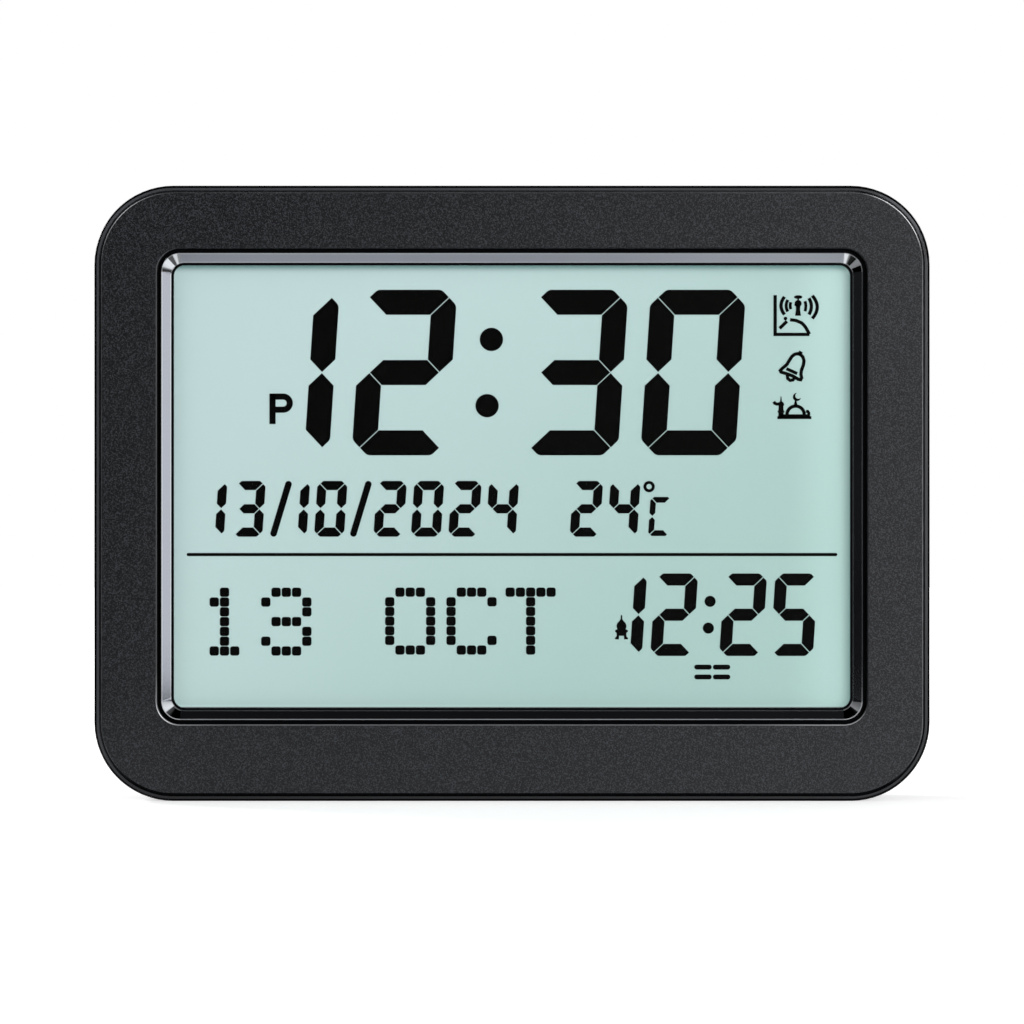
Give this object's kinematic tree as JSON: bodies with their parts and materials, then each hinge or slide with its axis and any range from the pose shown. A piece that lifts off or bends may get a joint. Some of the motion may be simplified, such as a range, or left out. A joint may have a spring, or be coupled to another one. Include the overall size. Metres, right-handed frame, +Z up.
{
  "type": "azan clock",
  "caption": "Flat black desk and wall prayer-time clock with a large segment display in a gloss trim, rear keys, speaker, battery bay, keyholes and a folding stand.",
  "frame": {"origin": "middle of the case's base: halfway along the width and the depth, at the lowest face", "axes": "+X to the right as the clock is read, +Y from the face to the back, +Z up"},
  "size_m": [0.3, 0.034, 0.221],
  "materials": {
    "case_black": "fine spark-eroded grain",
    "trim_gloss_black": "polished piano black",
    "clear_lens": "clear moulded window",
    "display_glass": "thin flat glass",
    "polariser_film": "smooth film",
    "segment_ink": "dark liquid crystal figures",
    "seal_glue": "cured glue line",
    "mint_reflector": "pale green reflector film",
    "clear_acrylic": "edge-lit acrylic",
    "white_moulding": "plain white moulding",
    "contact_rubber": "layered contact rubber",
    "board_green": "solder mask",
    "component_black": "moulded epoxy",
    "component_metal": "drawn can",
    "capacitor_sleeve": "shrink sleeve",
    "lamp_white": "lamp body",
    "screw_steel": "zinc plated",
    "speaker_steel": "pressed steel",
    "speaker_paper": "felted paper",
    "ferrite": "sintered ferrite",
    "key_grey": "smooth moulded keys",
    "battery_jacket": "printed cell jacket",
    "contact_nickel": "nickel plated spring steel",
    "pad_rubber": "soft matt rubber",
    "lead_insulation": "soft extruded insulation",
    "ribbon_grey": "flat laminated cable"
  },
  "bodies": {
    "housing": {"front_frame": "case_black", "window_trim": "trim_gloss_black", "window_lens": "clear_lens", "front_polariser": "polariser_film", "lcd_front_glass": "display_glass", "lcd_segments": "segment_ink", "lcd_seal": "seal_glue", "lcd_rear_glass": "display_glass", "lcd_reflector": "mint_reflector", "light_guide": "clear_acrylic", "backlight_strip": "board_green", "backlight_leds": "lamp_white", "lcd_holder": "white_moulding", "zebra_strip": "contact_rubber", "main_pcb": "board_green", "controller_chip": "component_black", "quartz_crystal": "component_metal", "capacitors": "capacitor_sleeve", "thermistor": "component_black", "holder_screws": "screw_steel", "pcb_screws": "screw_steel", "rear_cover": "case_black", "case_screws": "screw_steel", "speaker_frame": "speaker_steel", "speaker_cone": "speaker_paper", "speaker_magnet": "ferrite", "speaker_screws": "screw_steel", "key_switches": "component_black", "key_pcb": "board_green", "key_pcb_screws": "screw_steel", "battery_cell_lower": "battery_jacket", "battery_cell_middle": "battery_jacket", "battery_cell_upper": "battery_jacket", "battery_terminal_negative": "contact_nickel", "battery_terminal_positive": "contact_nickel", "battery_bridge_left": "contact_nickel", "battery_bridge_right": "contact_nickel", "battery_leads": "lead_insulation", "speaker_leads": "lead_insulation", "key_ribbon": "ribbon_grey"},
    "stand": {"stand_leg": "case_black", "stand_foot_pad": "pad_rubber"},
    "battery_door": {"battery_door": "case_black"},
    "mode_key": {"mode_key": "key_grey", "mode_plunger": "component_metal"},
    "set_key": {"set_key": "key_grey", "set_plunger": "component_metal"},
    "up_key": {"up_key": "key_grey", "up_plunger": "component_metal"},
    "down_key": {"down_key": "key_grey", "down_plunger": "component_metal"},
    "alarm_key": {"alarm_key": "key_grey", "alarm_plunger": "component_metal"},
    "light_key": {"light_key": "key_grey", "light_plunger": "component_metal"}
  },
  "joints": [
    {"name": "stand_hinge", "type": "hinge", "parent": "housing", "child": "stand", "pos_m": [0, 0.0148, 0.1], "axis": [1, 0, 0], "range_deg": [0, 30]},
    {"name": "battery_door_hinge", "type": "hinge", "parent": "housing", "child": "battery_door", "pos_m": [0, 0.017, 0.1072], "axis": [-1, 0, 0], "range_deg": [0, 80]},
    {"name": "mode_key_press", "type": "slide", "parent": "housing", "child": "mode_key", "axis": [0, -1, 0], "range_m": [0, 0.0005], "stiffness_N_per_m": 200, "springref_m": -0.003},
    {"name": "set_key_press", "type": "slide", "parent": "housing", "child": "set_key", "axis": [0, -1, 0], "range_m": [0, 0.0005], "stiffness_N_per_m": 200, "springref_m": -0.003},
    {"name": "up_key_press", "type": "slide", "parent": "housing", "child": "up_key", "axis": [0, -1, 0], "range_m": [0, 0.0005], "stiffness_N_per_m": 200, "springref_m": -0.003},
    {"name": "down_key_press", "type": "slide", "parent": "housing", "child": "down_key", "axis": [0, -1, 0], "range_m": [0, 0.0005], "stiffness_N_per_m": 200, "springref_m": -0.003},
    {"name": "alarm_key_press", "type": "slide", "parent": "housing", "child": "alarm_key", "axis": [0, -1, 0], "range_m": [0, 0.0005], "stiffness_N_per_m": 200, "springref_m": -0.003},
    {"name": "light_key_press", "type": "slide", "parent": "housing", "child": "light_key", "axis": [0, -1, 0], "range_m": [0, 0.0005], "stiffness_N_per_m": 200, "springref_m": -0.003}
  ]
}
